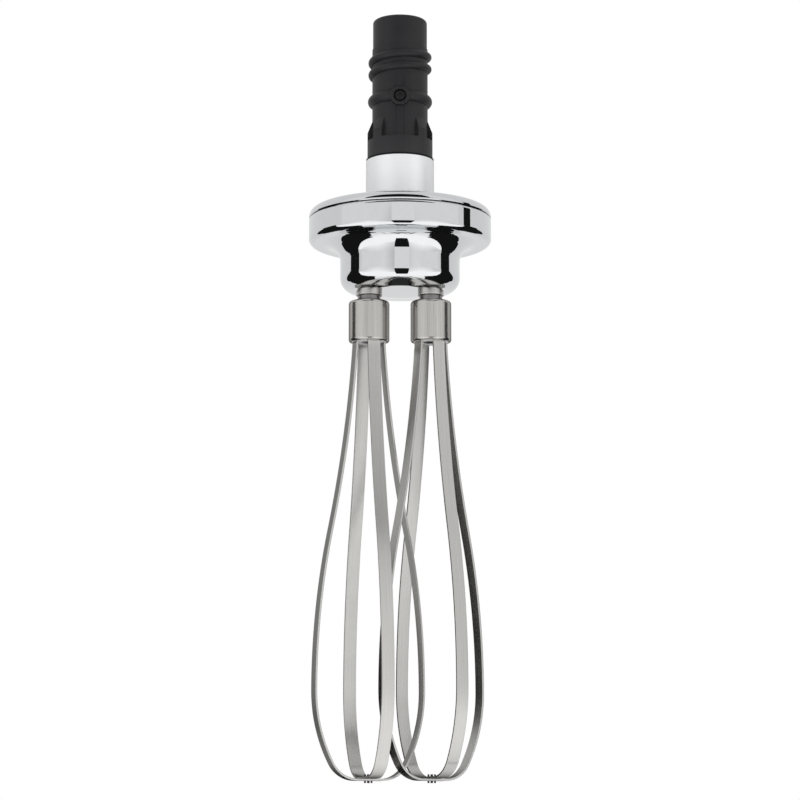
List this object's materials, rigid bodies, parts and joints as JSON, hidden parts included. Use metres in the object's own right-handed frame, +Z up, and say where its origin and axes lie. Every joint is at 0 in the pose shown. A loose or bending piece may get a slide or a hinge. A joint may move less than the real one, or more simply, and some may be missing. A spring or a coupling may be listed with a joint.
{
  "type": "immersion blender whisk attachment",
  "caption": "Geared twin whisk for a stick blender: black coupling, steel neck, plated gear housing and interleaved strip-loop whisks that turn against each other.",
  "frame": {"origin": "on the drive axis, at the root of the coupling's plain spigot", "axes": "+Z up along the drive axis towards the blender, X through both spindles, -Y towards the front screw"},
  "size_m": [0.08, 0.08, 0.3356],
  "materials": {
    "black_plastic": "fine moulded grain, matt",
    "black_screw": "blackened steel",
    "satin_steel": "satin, turned",
    "chrome": "bright plated",
    "bearing_steel": "ground",
    "gear_steel": "cut and oiled",
    "spring_steel": "phosphated",
    "rubber": "matt black",
    "bronze": "sintered",
    "plain_steel": "turned",
    "dark_screw": "blackened steel",
    "ferrule_steel": "brushed lengthwise",
    "strip_steel": "brushed lengthwise"
  },
  "bodies": {
    "housing": {"coupling_body": "black_plastic", "coupling_screws": "black_screw", "neck_gasket": "rubber", "neck_sleeve": "satin_steel", "upper_outer_race": "bearing_steel", "lower_outer_race": "bearing_steel", "bearing_spacer": "bearing_steel", "bearing_circlip": "spring_steel", "input_seal": "rubber", "top_cover": "chrome", "cover_screws": "plain_steel", "cover_seal": "rubber", "gear_housing": "chrome", "idler_pin": "bearing_steel", "idler_washer": "bronze", "left_thrust_washer": "bronze", "left_spindle_bush": "bronze", "left_seal_case": "plain_steel", "left_seal_lip": "rubber", "right_thrust_washer": "bronze", "right_spindle_bush": "bronze", "right_seal_case": "plain_steel", "right_seal_lip": "rubber"},
    "left_whisk": {"left_spindle": "plain_steel", "left_spindle_gear": "gear_steel", "left_spindle_clip": "spring_steel", "left_ferrule": "ferrule_steel", "left_core": "plain_steel", "left_hub_screw": "dark_screw", "left_outer_loop": "strip_steel", "left_inner_loop": "strip_steel", "left_tip_rivets": "plain_steel"},
    "right_whisk": {"right_spindle": "plain_steel", "right_spindle_gear": "gear_steel", "right_spindle_clip": "spring_steel", "right_ferrule": "ferrule_steel", "right_core": "plain_steel", "right_hub_screw": "dark_screw", "right_outer_loop": "strip_steel", "right_inner_loop": "strip_steel", "right_tip_rivets": "plain_steel"},
    "idler": {"idler_gear": "gear_steel"},
    "drive": {"input_shaft": "gear_steel", "shaft_clip": "spring_steel", "drive_dog": "gear_steel", "upper_inner_race": "bearing_steel", "lower_inner_race": "bearing_steel"},
    "upper_balls": {"upper_ball_cage": "bearing_steel"},
    "lower_balls": {"lower_ball_cage": "bearing_steel"}
  },
  "joints": [
    {"name": "left_whisk_spin", "type": "hinge", "parent": "housing", "child": "left_whisk", "pos_m": [-0.0135, 0, -0.1092], "axis": [0, 0, 1], "continuous": true},
    {"name": "right_whisk_spin", "type": "hinge", "parent": "housing", "child": "right_whisk", "pos_m": [0.0135, 0, -0.1092], "axis": [0, 0, 1], "continuous": true},
    {"name": "idler_spin", "type": "hinge", "parent": "housing", "child": "idler", "pos_m": [-0.00521, 0.01765, -0.0802], "axis": [0, 0, 1], "continuous": true},
    {"name": "drive_spin", "type": "hinge", "parent": "housing", "child": "drive", "pos_m": [0, 0, -0.0772], "axis": [0, 0, 1], "continuous": true},
    {"name": "upper_balls_spin", "type": "hinge", "parent": "housing", "child": "upper_balls", "pos_m": [0, 0, -0.0562], "axis": [0, 0, 1], "continuous": true},
    {"name": "lower_balls_spin", "type": "hinge", "parent": "housing", "child": "lower_balls", "pos_m": [0, 0, -0.0687], "axis": [0, 0, 1], "continuous": true}
  ],
  "couplings": [
    {"joint": "right_whisk_spin", "follows": "left_whisk_spin", "ratio": -1},
    {"joint": "idler_spin", "follows": "left_whisk_spin", "ratio": -2.25},
    {"joint": "drive_spin", "follows": "left_whisk_spin", "ratio": 8.1},
    {"joint": "upper_balls_spin", "follows": "left_whisk_spin", "ratio": 3.132},
    {"joint": "lower_balls_spin", "follows": "left_whisk_spin", "ratio": 3.132}
  ]
}
